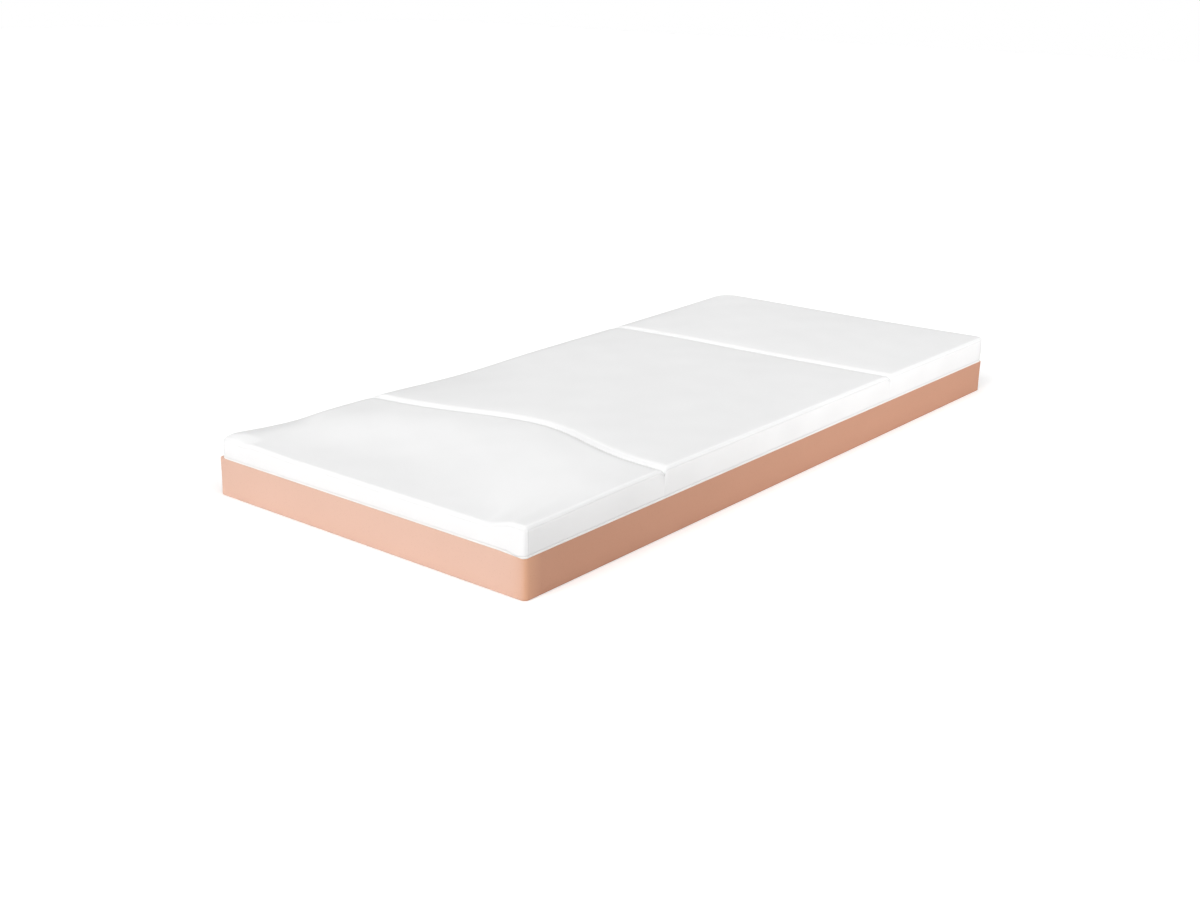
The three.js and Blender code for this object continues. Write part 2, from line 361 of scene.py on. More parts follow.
@dataclass(frozen=True)
class Hollow:
    """The shallow hollow in the head zone, which falls to the head end.

    The whole zone tilts a little, and a step that follows half an oval makes the hollow. It runs out
    towards the left side. The cover's corners by the head end stand up out of it.
    """

    tilt: float = 7 * MM
    tilt_length: float = 540 * MM
    step: float = 9 * MM
    middle: float = 25 * MM
    half_width: float = 425 * MM
    least: float = 0.5
    length: float = 290 * MM
    left_slope: float = 320 * MM
    right_slope: float = 480 * MM
    turn_over: float = 60 * MM
    left_share: float = 0.6
    left_from: float = 200 * MM
    left_to: float = 340 * MM
    corner_from: float = 340 * MM
    corner_to: float = 420 * MM
    spread_in: float = 60 * MM
    spread_out: float = 20 * MM
    spread_over: float = 250 * MM
    left_corner_length: float = 170 * MM
    right_corner_length: float = 320 * MM

    def depth(self, x: Array, from_end: Array) -> Array:
        """Give how deep the hollow is.

        Args:
            x: Places across the width.
            from_end: Distances from the head end.

        Returns:
            The depth at each point.
        """
        across = np.clip((x - self.middle) / self.half_width, -1, 1)
        oval = np.sqrt(1 - across**2)
        centre = self.length * np.where(x < self.middle, np.maximum(oval, self.least), oval)
        right = 1 / (1 + np.exp(-(x - self.middle) / self.turn_over))
        slope = self.left_slope + (self.right_slope - self.left_slope) * right
        place = np.clip((from_end - centre) / slope + 0.5, 0, 1)
        by_left = eased((-x - self.left_from) / (self.left_to - self.left_from))
        step = self.step * (1 - eased(place)) * (1 - (1 - self.left_share) * by_left)
        tilt = self.tilt * np.clip(1 - from_end / self.tilt_length, 0, 1)
        spread = np.where(x > 0, eased(from_end / self.spread_over), 0)
        corner_from = self.corner_from - self.spread_in * spread
        corner_to = self.corner_to + self.spread_out * spread
        in_corner = eased((np.abs(x) - corner_from) / (corner_to - corner_from))
        length = np.where(x > 0, self.right_corner_length, self.left_corner_length)
        return (step + tilt) * (1 - in_corner * np.exp(-((from_end / length) ** 2)))


@dataclass(frozen=True)
class Slack:
    """How the cover lies lower along the left side, where it is slack.

    It hangs over the rim, most and widest at the head end, and its corner there rolls off forwards.
    The side itself has settled, most at a place nearer to the head than to the foot.
    """

    drop: float = 21 * MM
    head_width: float = 122 * MM
    width: float = 55 * MM
    narrows_at: float = 225 * MM
    narrows_over: float = 22 * MM
    roll: float = 10 * MM
    roll_length: float = 48 * MM
    roll_width: float = 105 * MM
    tight_share: float = 0.35
    tight_length: float = 190 * MM
    settled: float = 17 * MM
    settled_ends: float = 8 * MM
    settled_at: float = 0.37
    settled_over: float = 0.11
    settled_falloff: float = 3.0

    def depth(self, x: Array, y: Array, outline: Outline) -> Array:
        """Give how far the top lies below its even height.

        Args:
            x: Places across the width.
            y: Places along the length.
            outline: The topper's outline.

        Returns:
            The drop at each point.
        """
        from_left, from_head = x - outline.left, y + outline.half_length
        along = np.clip(from_head / (2 * outline.half_length), 0, 1)
        by_head = 1 / (1 + np.exp((from_head - self.narrows_at) / self.narrows_over))
        width = self.width + (self.head_width - self.width) * by_head
        tight = 1 - self.tight_share * np.exp(-((from_head / self.tight_length) ** 2))
        over_rim = np.clip(1 - from_left / width, 0, 1) ** 2
        hanging = self.drop * tight * over_rim * np.cos(math.pi / 2 * along)
        corner = np.sqrt(np.clip(1 - from_left / self.roll_width, 0, 1))
        rolled = self.roll * corner * np.clip(1 - from_head / self.roll_length, 0, 1) ** 2
        bump = np.exp(-(((along - self.settled_at) / self.settled_over) ** 2))
        settled = self.settled_ends * np.sqrt(np.sin(math.pi * along))
        settled += (self.settled - self.settled_ends) * bump
        falling_off = np.clip(1 - from_left / outline.half_width, 0, 1) ** self.settled_falloff
        return hanging + rolled + settled * falling_off


@dataclass(frozen=True)
class Waves:
    """The slight unevenness of foam under a taut cover: broad bent waves and slanting ones."""

    size: float = 0.12 * MM
    rim_fade: float = 60 * MM
    broad: tuple[float, float] = (27, 31)
    bend: float = 2.0
    bend_along: float = 9.0
    slant: tuple[float, float] = (48, -22)
    slant_share: float = 0.5
    phases: Triple = (1.3, 0.4, 2.1)

    def height(self, x: Array, y: Array) -> Array:
        """Work out the waves.

        Args:
            x: Places across the width.
            y: Places along the length.

        Returns:
            Their height at each point.
        """
        bent = self.broad[0] * x + self.phases[0] + self.bend * np.sin(self.bend_along * y)
        broad = np.sin(bent) * np.cos(self.broad[1] * y + self.phases[1])
        slant = np.sin(self.slant[0] * x + self.slant[1] * y + self.phases[2])
        return self.size * (broad + self.slant_share * slant)


@dataclass(frozen=True)
class TopperForm:
    """The shape of the topper's top, the same for the cover and for what lies in it."""

    outline: Outline
    bottom: float
    rim: float
    head_line: float
    bell_rise: float
    straight_line: float
    hollow: Hollow = Hollow()
    slack: Slack = Slack()
    waves: Waves = Waves()
    rim_round: float = 7 * MM
    head_crown: float = 0.5 * MM
    crown: float = 3 * MM
    crown_fullness: float = 0.5
    right_lift: float = 6 * MM
    lift_over: float = 320 * MM
    lift_falloff: float = 1.5
    bell_middle: float = 45 * MM
    bell_left_reach: float = 240 * MM
    bell_right_reach: float = 215 * MM
    bell_shift: float = -14 * MM
    bell_skew: float = -1 * MM
    straight_shift: float = -37 * MM
    straight_skew: float = 6 * MM
    channel_depth: float = 11 * MM
    lip_width: float = 24 * MM
    wall_width: float = 10 * MM
    wall_roundness: float = 1.4
    crease_half: float = 0.9 * MM

    def channel_line(self, channel: Channel, x: Array) -> Array:
        """Give where a channel runs.

        Args:
            channel: Which channel.
            x: Places across the width.

        Returns:
            The channel's place along the length, for each place across.
        """
        across = x / self.outline.half_width
        if channel is Channel.STRAIGHT:
            return self.straight_line + self.straight_shift + self.straight_skew * across
        reach = np.where(x > self.bell_middle, self.bell_right_reach, self.bell_left_reach)
        swing = np.exp(-(((x - self.bell_middle) / reach) ** 2))
        return self.head_line + self.bell_shift + self.bell_skew * across + self.bell_rise * swing

    def edges(self, zone: Zone, x: Array) -> tuple[Array, Array]:
        """Give where a zone starts and where it ends.

        Args:
            zone: The zone.
            x: Places across the width.

        Returns:
            Its first and its last place along the length, for each place across.
        """
        end = np.full_like(x, self.outline.half_length)
        lines = [-end, *(self.channel_line(channel, x) for channel in Channel), end]
        place = list(Zone).index(zone)
        return lines[place], lines[place + 1]

    def rim_drop(self, x: Array, y: Array, inset: float) -> Array:
        """Give how far a layer lies below the flat by the rim.

        Args:
            x: Places across the width.
            y: Places along the length.
            inset: How far the layer lies inside the cover's outer face.

        Returns:
            The drop at each point.
        """
        radius = self.rim_round - inset
        rounded = round_drop(self.outline.distance(x, y) - inset, radius, radius)
        return rounded + self.slack.depth(x, y, self.outline)

    def height(self, zone: Zone, x: Array, y: Array, inset: float, crown: Callable | None = None) -> Array:
        """Give the height of one layer of the top.

        Args:
            zone: The zone that the points lie in.
            x: Places across the width.
            y: Places along the length.
            inset: How far the layer lies inside the cover's outer face.
            crown: The share of the crown for places along and across, if it was simulated.

        Returns:
            The height of each point.
        """
        start, end = self.edges(zone, x)
        along, across = np.clip((y - start) / (end - start), 0, 1), x / self.outline.half_width
        if crown is None:
            swell = (1 - across**2) * 4 * along * (1 - along)
        else:
            swell = crown(along, across) ** self.crown_fullness
        height = self.rim + (self.head_crown if zone is Zone.HEAD else self.crown) * swell - inset
        height += self.waves.height(x, y) * np.clip(self.outline.distance(x, y) / self.waves.rim_fade, 0, 1)
        from_head = y + self.outline.half_length
        if zone is Zone.HEAD:
            height -= self.hollow.depth(x, from_head)
        lifted = np.clip(across, 0, 1) ** self.lift_falloff * eased(from_head / self.lift_over)
        height += self.right_lift * lifted - self.rim_drop(x, y, inset)
        depth, gap = self.channel_depth - inset, self.crease_half + inset
        if zone is not Zone.HEAD:
            height -= round_drop(y - start - gap, self.wall_width - inset, depth, self.wall_roundness)
        if zone is not Zone.FOOT:
            height -= round_drop(end - y - gap, self.lip_width - inset, depth)
        return height


@dataclass(frozen=True)
class TopperSizes:
    """The topper's sizes that scene.py has of its own."""

    height: float = 63 * MM
    head_right: float = 8 * MM
    head_left: float = 26 * MM
    foot_right: float = 24 * MM
    foot_left: float = 55 * MM
    left_short: float = 4 * MM

    def form(self) -> TopperForm:
        """Work out the topper's shape from these sizes and the frame.

        Returns:
            The shape.
        """
        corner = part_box("foot_panel")[1]
        bell_low, bell_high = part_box("bell_channel_tape")
        straight_low, straight_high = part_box("straight_channel_tape")
        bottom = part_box("underside_sheet")[0].z
        tape_half = (straight_high.y - straight_low.y) / 2
        corners = (self.head_right, self.head_left, self.foot_right, self.foot_left)
        return TopperForm(
            outline=Outline(corner.x, corner.y, *corners, self.left_short),
            bottom=bottom,
            rim=bottom + self.height,
            head_line=bell_low.y + tape_half,
            bell_rise=bell_high.y - bell_low.y - 2 * tape_half,
            straight_line=(straight_low.y + straight_high.y) / 2,
        )


@dataclass(frozen=True)
class Fineness:
    """How closely the topper's surfaces are laid out."""

    rim_steps: int = 8
    shoulder_steps: int = 14
    corner_steps: int = 14
    cell: float = 8 * MM


class ZoneSurface:
    """One layer of a zone as rows and columns of points."""

    def __init__(self, form: TopperForm, zone: Zone, inset: float, fineness: Fineness) -> None:
        """Lay the grid of the layer.

        Args:
            form: The topper's shape.
            zone: The zone.
            inset: How far the layer lies inside the cover's outer face.
            fineness: How closely the points lie.
        """
        self.form, self.zone, self.inset, self.fineness = form, zone, inset, fineness
        outline = form.outline
        self.columns = int(round(2 * outline.half_width / fineness.cell))
        places = self._across(np.array([outline.left + inset]), np.array([outline.half_width - inset]))[:, 0]
        start, end = form.edges(zone, places)
        low, low_steps = self._border(zone is Zone.HEAD, True)
        high, high_steps = self._border(zone is Zone.FOOT, False)
        span = end - start - low - high
        middle = max(int(round(float(span.mean()) / fineness.cell)), 2)
        self.y = start + low + shares_across((low_steps, high_steps), span, middle)
        left, right = outline.side(-1, self.y, inset), outline.side(1, self.y, inset)
        self.x = np.stack([self._across(*sides).diagonal() for sides in zip(left, right)])

    def _border(self, is_end: bool, at_head: bool) -> tuple[float, Array]:
        """Lay out one of the two borders that run across the width.

        Args:
            is_end: Whether it is the topper's own end, or else a channel.
            at_head: Whether it is the zone's border at its head side.

        Returns:
            How far the border is drawn in, and the close steps by it.
        """
        if is_end:
            reach = self.form.outline.reach(at_head) - self.inset
            return self.inset, arc_steps(reach, self.fineness.corner_steps)
        reach = (self.form.wall_width if at_head else self.form.lip_width) - self.inset
        return self.inset + self.form.crease_half, arc_steps(reach, self.fineness.shoulder_steps)

    def _across(self, left: Array, right: Array) -> Array:
        """Lay the columns between the left and the right side, for each line."""
        steps = arc_steps(self.form.rim_round - self.inset, self.fineness.rim_steps)
        return left + shares_across((steps, steps), right - left, self.columns)

    def points(self, crown: Callable | None = None) -> Array:
        """Give the layer's points as rows from the head side, with the simulated crown if there is one."""
        z = self.form.height(self.zone, self.x, self.y, self.inset, crown)
        return np.stack([self.x, self.y, z], axis=2)


@dataclass
class Crown:
    """The crown of a zone's panel, which is sewn down all round and blown up like a cushion."""

    form: TopperForm
    zone: Zone
    cell: float = 22 * MM
    pressure: float = 4.0
    quality: int = 6
    last_frame: int = 20

    def __post_init__(self) -> None:
        """Simulate the panel once."""
        self.rise = self.simulated()

    def simulated(self) -> Array:
        """Blow up the panel.

        Returns:
            How far each point rises as a share of the highest, as rows and columns.
        """
        half_width = self.form.outline.half_width
        start, end = self.form.edges(self.zone, np.zeros(1))
        rows, columns = (int(size / self.cell) | 1 for size in (end[0] - start[0], 2 * half_width))
        x = np.repeat(np.linspace(-half_width, half_width, columns)[None, :], rows, axis=0)
        start, end = self.form.edges(self.zone, x)
        y = start + (end - start) * np.linspace(0, 1, rows)[:, None]
        sheet = sheet_piece(f"{self.zone.value}_crown_trial", np.stack([x, y, np.zeros_like(x)], axis=2))
        pinned = sheet.vertex_groups.new(name="sewn edge")
        edge = border(np.arange(rows * columns).reshape(rows, columns))
        pinned.add([int(n) for n in edge], 1.0, "REPLACE")
        cloth = sheet.modifiers.new("cloth", "CLOTH")
        cloth.settings.vertex_group_mass = pinned.name
        cloth.settings.use_pressure = True
        cloth.settings.uniform_pressure_force = self.pressure
        cloth.settings.effector_weights.gravity = 0
        cloth.settings.quality = self.quality
        cloth.point_cache.frame_start = 1
        cloth.point_cache.frame_end = self.last_frame
        scene = bpy.context.scene
        for number in range(1, self.last_frame + 1):
            scene.frame_set(number)
        evaluated = sheet.evaluated_get(bpy.context.evaluated_depsgraph_get())
        places = np.zeros(rows * columns * 3)
        evaluated.data.vertices.foreach_get("co", places)
        rise = np.maximum(places.reshape(rows, columns, 3)[:, :, 2], 0)
        scene.frame_set(1)
        bpy.data.objects.remove(sheet)
        return rise / max(float(rise.max()), TINY)

    def share(self, along: Array, across: Array) -> Array:
        """Read the blown-up panel between its points.

        Args:
            along: Places along the zone, from 0 to 1.
            across: Places across it, from -1 to 1.

        Returns:
            The crown at each place, as a share of its height.
        """
        last_row, last_column = self.rise.shape[0] - 1, self.rise.shape[1] - 1
        row, column = np.clip(along, 0, 1) * last_row, (np.clip(across, -1, 1) + 1) / 2 * last_column
        i, j = np.minimum(row.astype(int), last_row - 1), np.minimum(column.astype(int), last_column - 1)
        u, v = row - i, column - j
        low = self.rise[i, j] * (1 - v) + self.rise[i, j + 1] * v
        high = self.rise[i + 1, j] * (1 - v) + self.rise[i + 1, j + 1] * v
        return low * (1 - u) + high * u


# Node groups and finishes


class Nodes:
    """A short way to add and join shader nodes in one tree."""

    def __init__(self, tree: NodeTree) -> None:
        """Work in a node tree."""
        self.tree = tree

    def feed(self, node: Node, inputs: dict[str | int, object]) -> Node:
        """Set or link a node's inputs.

        Args:
            node: The node.
            inputs: Values or sockets, by the input's name or place.

        Returns:
            The node.
        """
        for name, value in inputs.items():
            if isinstance(value, NodeSocket):
                self.tree.links.new(value, node.inputs[name])
            else:
                node.inputs[name].default_value = value
        return node

    def add(self, kind: str, inputs: dict[str | int, object] | None = None, **values: object) -> Node:
        """Add a node.

        Args:
            kind: The node's type.
            inputs: What goes into it, by name or by place.
            **values: Its properties by name.

        Returns:
            The node.
        """
        node = self.tree.nodes.new(kind)
        for name, value in values.items():
            setattr(node, name, value)
        return self.feed(node, inputs or {})

    def group(self, tree: NodeTree, inputs: dict[str, object] | None = None) -> bpy.types.bpy_prop_collection:
        """Use a node group, and give its outputs."""
        return self.add("ShaderNodeGroup", inputs, node_tree=tree).outputs

    def axes(self, kind: str) -> list[NodeSocket]:
        """Give the three parts of a texture coordinate, such as Object or Normal."""
        place = self.add("ShaderNodeTexCoord").outputs[kind]
        return list(self.add("ShaderNodeSeparateXYZ", {0: place}).outputs)

    def math(self, operation: str, *inputs: object, clamp: bool = False) -> NodeSocket:
        """Work out a number from numbers or sockets, kept between 0 and 1 if clamp is set."""
        node = self.add("ShaderNodeMath", dict(enumerate(inputs)), operation=operation, use_clamp=clamp)
        return node.outputs[0]

    def mix(self, factor: object, first: object, second: object, kind: str = "MIX") -> NodeSocket:
        """Mix two colours.

        Args:
            factor: The share of the second.
            first: A colour or a socket.
            second: A colour or a socket.
            kind: The way they are mixed.

        Returns:
            The mixed colour.
        """
        first, second = (c if isinstance(c, NodeSocket) else (*c, 1) for c in (first, second))
        inputs = {0: factor, 6: first, 7: second}
        return self.add("ShaderNodeMix", inputs, data_type="RGBA", blend_type=kind).outputs[2]

    def blend(self, factor: object, first: object, second: object) -> NodeSocket:
        """Give a number between two others, from the first at 0 to the second at 1."""
        return self.math("MULTIPLY_ADD", factor, self.math("SUBTRACT", second, first), first)

    def mapped(self, value: object, low: float, high: float) -> NodeSocket:
        """Stretch a value from 0 to 1 to another range."""
        ends = {"Value": value, "To Min": low, "To Max": high}
        return self.add("ShaderNodeMapRange", ends).outputs["Result"]

    def bump(self, height: object, distance: float, strength: float, **under: NodeSocket) -> NodeSocket:
        """Give the normal of a relief, over another one's Normal if that is given."""
        inputs = {"Height": height, "Distance": distance, "Strength": strength, **under}
        return self.add("ShaderNodeBump", inputs).outputs["Normal"]

    def seen(self) -> NodeSocket:
        """Tell the rays that show things, straight or by reflection, from those that light them."""
        rays = self.add("ShaderNodeLightPath").outputs
        return self.math("MAXIMUM", rays["Is Camera Ray"], rays["Is Glossy Ray"])


class Group(Nodes):
    """A shader node group that takes and gives numbers."""

    def __init__(self, name: str, inputs: dict[str, float], outputs: list[str]) -> None:
        """Make the group.

        Args:
            name: Its name.
            inputs: Input names with their usual values.
            outputs: Output names.
        """
        super().__init__(bpy.data.node_groups.new(name, "ShaderNodeTree"))
        for label, value in inputs.items():
            socket = self.tree.interface.new_socket(label, in_out="INPUT", socket_type="NodeSocketFloat")
            socket.default_value = value
        for label in outputs:
            self.tree.interface.new_socket(label, in_out="OUTPUT", socket_type="NodeSocketFloat")
        self.given = self.add("NodeGroupInput").outputs
        self.out = self.add("NodeGroupOutput")


class Surface(Nodes):
    """The nodes of a new material, round its shader."""

    def __init__(self, name: str) -> None:
        """Make the material.

        Args:
            name: Its name.
        """
        self.material = bpy.data.materials.new(name)
        self.material.use_nodes = True
        super().__init__(self.material.node_tree)
        self.shader = self.tree.nodes["Principled BSDF"]


def knit_group() -> NodeTree:
    """Make the knitted loops: columns of small chevrons that follow each face.

    Returns:
        A group with the inputs Loop Width and Loop Height in metres, and the output Height.
    """
    n = Group("Knit Loops", {"Loop Width": 1.6 * MM, "Loop Height": 1.2 * MM}, ["Height"])
    x, y, z = n.axes("Object")
    tilts = [n.math("ABSOLUTE", part) for part in n.axes("Normal")]
    upright = n.math("LESS_THAN", tilts[2], UPRIGHT)
    sideways = n.math("MULTIPLY", upright, n.math("GREATER_THAN", tilts[0], tilts[1]))
    column = n.math("FRACT", n.math("DIVIDE", n.blend(sideways, x, y), n.given["Loop Width"]))
    bend = n.math("ABSOLUTE", n.math("SUBTRACT", column, 0.5))
    row = n.math("ADD", n.math("DIVIDE", n.blend(upright, y, z), n.given["Loop Height"]), bend)
    loops = n.math("MULTIPLY_ADD", n.math("SINE", n.math("MULTIPLY", row, 2 * math.pi)), 0.5, 0.5)
    ribs = n.math("SINE", n.math("MULTIPLY", column, math.pi))
    n.feed(n.out, {"Height": n.math("MULTIPLY", loops, n.math("SQRT", ribs))})
    return n.tree


def mottle_group() -> NodeTree:
    """Make the soft unevenness that cloth and foam both show.

    Returns:
        A group with the input Patch Size in metres, and the outputs Wide and Fine, from 0 to 1.
    """
    n = Group("Soft Mottle", {"Patch Size": 0.12}, ["Wide", "Fine"])
    place = n.add("ShaderNodeTexCoord").outputs["Object"]
    for label, fineness, detail in (("Wide", 1.0, 2.0), ("Fine", 24.0, 3.0)):
        scale = n.math("DIVIDE", fineness, n.given["Patch Size"])
        noise = n.add("ShaderNodeTexNoise", {"Vector": place, "Scale": scale, "Detail": detail})
        n.feed(n.out, {label: noise.outputs[0]})
    return n.tree


def painted_light_group() -> NodeTree:
    """Make the painted light of the knit: a tone by which way each face turns, and one for slanted faces.

    Faces that lean to the head end get painted light, and so do those that lean right and upright ones.
    Those that lean left get painted shade on the left half and painted light on the right one. Slanted
    faces, on rounded edges and channel walls, get a painted tone of their own.

    Returns:
        A group with the inputs Softness and Half Width in metres, and the outputs Painted Light and
        Painted Slant Light, from 0 to 1.
    """
    # Gains of the painted light by facing, and of the slanted faces' painted tone.
    to_foot, to_right, to_left, side_face, edge_gain = -0.8, 0.2, -0.3, 0.25, 3.4
    n = Group("Painted Facing Light", {"Softness": 0.045, "Half Width": 0.45}, ["Painted Light", "Painted Slant Light"])
    right, along, up = facing = n.axes("Normal")
    across = n.math("DIVIDE", n.axes("Object")[0], n.given["Half Width"])
    rightwards = n.math("MULTIPLY", n.math("MAXIMUM", right, 0.0), to_right)
    leftwards = n.math("MULTIPLY", n.math("MINIMUM", right, 0.0), n.math("MULTIPLY", across, to_left))
    sideways = n.math("MULTIPLY", n.math("ADD", rightwards, leftwards), up)
    lean = n.math("MULTIPLY_ADD", along, to_foot, sideways)
    scaled = n.math("DIVIDE", lean, n.math("MULTIPLY", n.given["Softness"], 2.0))
    upright = n.math("MULTIPLY", n.math("SUBTRACT", 1.0, up), side_face)
    painted_light = n.math("ADD", n.math("ADD", scaled, 0.5), upright, clamp=True)
    sizes = [n.math("ABSOLUTE", part) for part in facing]
    flat = n.math("MAXIMUM", n.math("MAXIMUM", sizes[0], sizes[1]), sizes[2])
    edge = n.math("MULTIPLY", n.math("SUBTRACT", 1.0, flat), edge_gain, clamp=True)
    n.feed(n.out, {"Painted Light": painted_light, "Painted Slant Light": edge})
    return n.tree


def foam_group() -> NodeTree:
    """Make the open cells of cut foam, with a larger pit here and there.

    Returns:
        A group with the input Cell Size in metres, and the outputs Height and Pits, from 0 to 1.
    """
    pit_density, pit_radius, pit_depth = 0.28, 0.16, 0.5
    n = Group("Foam Cells", {"Cell Size": 1.5 * MM}, ["Height", "Pits"])
    place = n.add("ShaderNodeTexCoord").outputs["Object"]
    scales = [n.math("DIVIDE", share, n.given["Cell Size"]) for share in (1.0, pit_density)]
    cells, spots = (n.add("ShaderNodeTexVoronoi", {"Vector": place, "Scale": scale}) for scale in scales)
    pits = n.math("LESS_THAN", spots.outputs["Distance"], pit_radius)
    height = n.math("SUBTRACT", cells.outputs["Distance"], n.math("MULTIPLY", pits, pit_depth))
    n.feed(n.out, {"Height": height, "Pits": pits})
    return n.tree


class Effects:
    """The node groups that more than one finish uses, each built once."""

    def __init__(self) -> None:
        """Build the groups."""
        self.knit = knit_group()
        self.mottle = mottle_group()
        self.painted_light = painted_light_group()
        self.foam = foam_group()


@dataclass(frozen=True)
class KnitFinish:
    """A knitted cloth: fine loops and a little unevenness, with painted light: a lit, a shaded and a
    slanted-face tone by which way each face turns.
    """

    name: str
    # colour and shade are the painted lit and shaded tones of one cloth, and edge the painted tone of slanted
    # faces.
    colour: Triple
    shade: Triple
    edge: Triple
    loop_width: float = 1.6 * MM
    loop_height: float = 1.2 * MM
    relief: float = 0.25 * MM
    unevenness: float = 0.6 * MM
    patchiness: float = 0.15
    gap_shade: float = 0.12

    def build(self, effects: Effects) -> Material:
        """Make the material.

        Args:
            effects: The shared node groups.

        Returns:
            The material.
        """
        n = Surface(self.name)
        loops = {"Loop Width": self.loop_width, "Loop Height": self.loop_height}
        knit = n.group(effects.knit, loops)["Height"]
        mottle, painted_light = n.group(effects.mottle), n.group(effects.painted_light)
        patches = n.mapped(mottle["Wide"], -self.patchiness, self.patchiness)
        # Painted light: from the shaded to the lit tone by which way each face turns, then the slanted faces'
        # painted tone.
        painted_facing_tone = n.mix(n.math("ADD", painted_light["Painted Light"], patches, clamp=True), self.shade, self.colour)
        with_painted_edge_tone = n.mix(painted_light["Painted Slant Light"], painted_facing_tone, self.edge)
        between = n.math("MULTIPLY", n.math("SUBTRACT", 1.0, knit), self.gap_shade)
        soft = n.bump(mottle["Fine"], self.unevenness, strength=0.35)
        looks = {
            "Base Color": n.mix(between, with_painted_edge_tone, self.shade),
            "Roughness": n.mapped(mottle["Fine"], 0.8, 0.95),
            "Normal": n.bump(knit, self.relief, strength=0.4, Normal=soft),
            "Specular IOR Level": 0.2,
            "Sheen Weight": 0.12,
            "Sheen Roughness": 0.5,
        }
        n.feed(n.shader, looks)
        return n.material


@dataclass(frozen=True)
class FoamFinish:
    """A cut foam block: open cells, a matt skin, long sides in a redder tone with painted shade, and painted
    shade at two corners.

    The painted corner shade stands in for the shading round an upright corner, and fades into the tone of the
    ends and of the sides. It is at the right corner of the head end and the left one of the foot end.
    """

    name: str
    end_colour: Triple
    # The long sides' own colour holds painted shade as well as a redder tone.
    shaded_side_colour: Triple
    corner_shade_colour: Triple
    half_width: float
    half_length: float
    # How far the painted corner shade reaches over the end and along the side.
    corner_shade_end: float = 16 * MM
    corner_shade_side: float = 47 * MM
    patch_tint: Triple = (0.93, 0.9, 0.88)
    patchiness: float = 0.5
    # The painted shade in the larger pits: its tint and how much of it.
    pit_shade_tint: Triple = (0.8, 0.74, 0.7)
    pit_shade_share: float = 0.35
    cell: float = 1.5 * MM
    relief: float = 0.5 * MM

    def build(self, effects: Effects) -> Material:
        """Make the material.

        Args:
            effects: The shared node groups.

        Returns:
            The material.
        """
        n = Surface(self.name)
        x, y = n.axes("Object")[:2]
        upright = n.math("LESS_THAN", n.math("ABSOLUTE", n.axes("Normal")[2]), UPRIGHT)
        from_end = n.math("SUBTRACT", self.half_length, n.math("ABSOLUTE", y))
        from_side = n.math("SUBTRACT", self.half_width, n.math("ABSOLUTE", x))
        past_corner = n.math("SUBTRACT", from_end, from_side)
        on_side = n.math("MULTIPLY", upright, n.math("GREATER_THAN", past_corner, 0.0))
        on_end = n.math("EXPONENT", n.math("DIVIDE", n.math("MINIMUM", past_corner, 0.0), self.corner_shade_end))
        along = n.math("DIVIDE", n.math("MAXIMUM", past_corner, 0.0), self.corner_shade_side)
        fading = n.math("MAXIMUM", n.math("SUBTRACT", 1.0, along), 0.0)
        near = n.math("LESS_THAN", n.math("MULTIPLY", x, y), 0.0)
        # Painted shade at two corners, fading from the corner into the end and the side.
        corner_shade = n.math("MULTIPLY", n.math("MULTIPLY", upright, near), n.math("MULTIPLY", on_end, fading))
        # The long sides get painted shade and a redder tone, the ends their own colour.
        faces = n.mix(on_side, self.end_colour, self.shaded_side_colour)
        colour = n.mix(corner_shade, faces, self.corner_shade_colour)
        mottle, foam = n.group(effects.mottle), n.group(effects.foam, {"Cell Size": self.cell})
        deeper = n.mix(1.0, colour, self.patch_tint, "MULTIPLY")
        uneven = n.mix(n.mapped(mottle["Wide"], 0, self.patchiness), colour, deeper)
        # Painted shade in the larger pits, where shade falls in the holes.
        shaded_pits = n.mix(1.0, uneven, self.pit_shade_tint, "MULTIPLY")
        looks = {
            "Base Color": n.mix(n.math("MULTIPLY", foam["Pits"], self.pit_shade_share), uneven, shaded_pits),
            "Roughness": n.mapped(mottle["Fine"], 0.88, 1.0),
            "Normal": n.bump(foam["Height"], self.relief, strength=0.5),
            "Specular IOR Level": 0.15,
        }
        n.feed(n.shader, looks)
        return n.material


# The object's sub-assemblies


@dataclass
class FoamBase:
    """The peach block under the topper."""

    finish: Material
    corner: float = 12 * MM
    edge: float = 2 * MM
    corner_steps: int = 10
    edge_steps: int = 4
    side_rows: int = 8
    sag: float = 0.5 * MM

    def build(self) -> Object:
        """Build the block, ring by ring from its underside to its top.

        Returns:
            The piece.
        """
        low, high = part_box("base_core")
        outline = Outline(high.x, high.y, self.corner, self.corner, self.corner, self.corner)
        rounded = arc_steps(self.edge, self.edge_steps)
        lift = np.sqrt(np.maximum(self.edge**2 - (self.edge - rounded) ** 2, 0))
        sides = np.linspace(0, 1, self.side_rows + 1)[1:-1]
        inner = low.z + self.edge + (high.z - low.z - 2 * self.edge) * sides
        heights = [low.z, *(low.z + self.edge - lift[::-1]), *inner, *(high.z - self.edge + lift), high.z]
        sagging = self.sag * np.sin(math.pi * sides)
        insets = [2 * self.edge, *rounded[::-1], *sagging, *rounded, 2 * self.edge]
        rings = [ring(outline.loop(inset, self.corner_steps), z) for inset, z in zip(insets, heights)]
        piece = ring_piece("base_foam_block", rings, self.finish)
        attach(piece, "base")
        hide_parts("base_core")
        return piece


